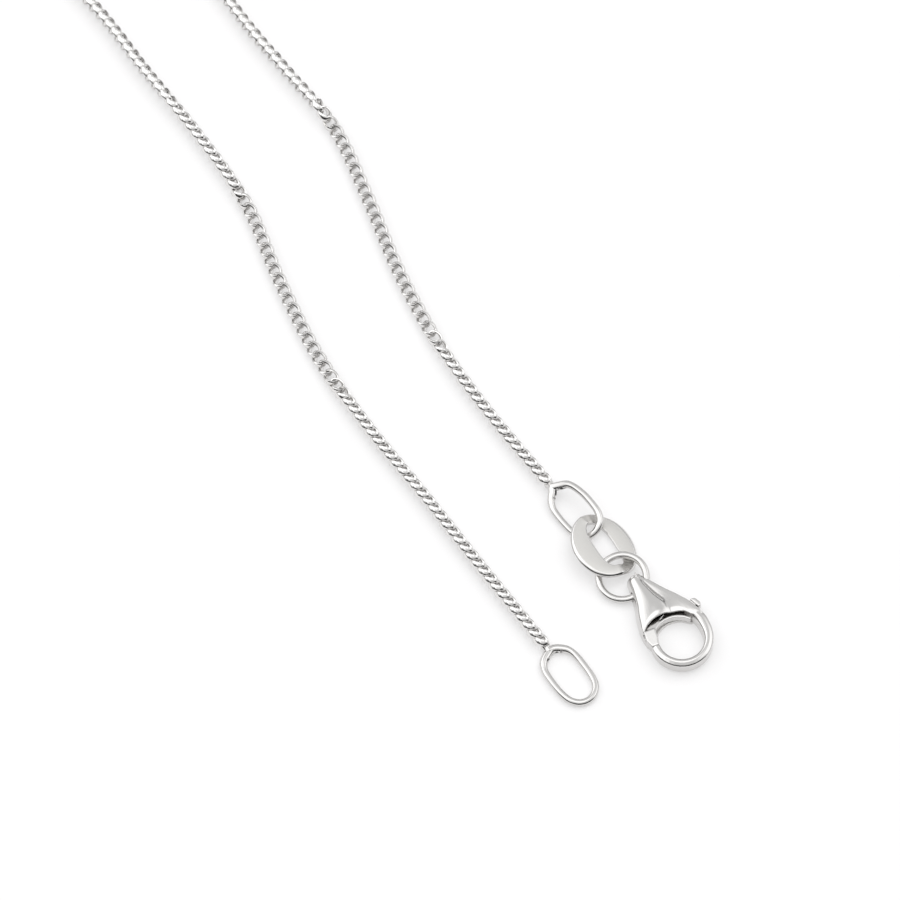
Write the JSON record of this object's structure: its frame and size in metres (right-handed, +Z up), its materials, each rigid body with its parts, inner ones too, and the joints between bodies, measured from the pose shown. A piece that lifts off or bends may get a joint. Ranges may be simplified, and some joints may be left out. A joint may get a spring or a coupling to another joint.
{
  "type": "curb chain necklace",
  "caption": "Fine silver curb chain necklace lying open in a loop, with oval end rings, a flat oval link, a round jump ring and a trigger clasp with a sprung lever.",
  "frame": {"origin": "the middle of the necklace's footprint, on the surface that it lies on", "axes": "+Z up off the surface, +Y from the clasp's end towards the loop behind, +X to the viewer's right"},
  "size_m": [0.1333, 0.1754, 0.0019],
  "materials": {
    "polished_silver": "polished sterling silver",
    "satin_silver": "satin sterling silver"
  },
  "bodies": {
    "necklace": {"chain_plain_side": "polished_silver", "chain_clasp_side": "polished_silver", "plain_end_ring": "polished_silver", "clasp_end_ring": "polished_silver", "tag_link": "satin_silver", "jump_ring": "polished_silver", "clasp_body": "polished_silver", "lever_pin": "polished_silver"},
    "lever": {"clasp_lever": "polished_silver"}
  },
  "joints": [
    {"name": "lever_hinge", "type": "hinge", "parent": "necklace", "child": "lever", "pos_m": [0.06086, -0.07832, 0.00073], "axis": [0, 0, 1], "range_deg": [0, 20], "stiffness_Nm_per_rad": 0.00002, "springref_deg": -11.46}
  ]
}
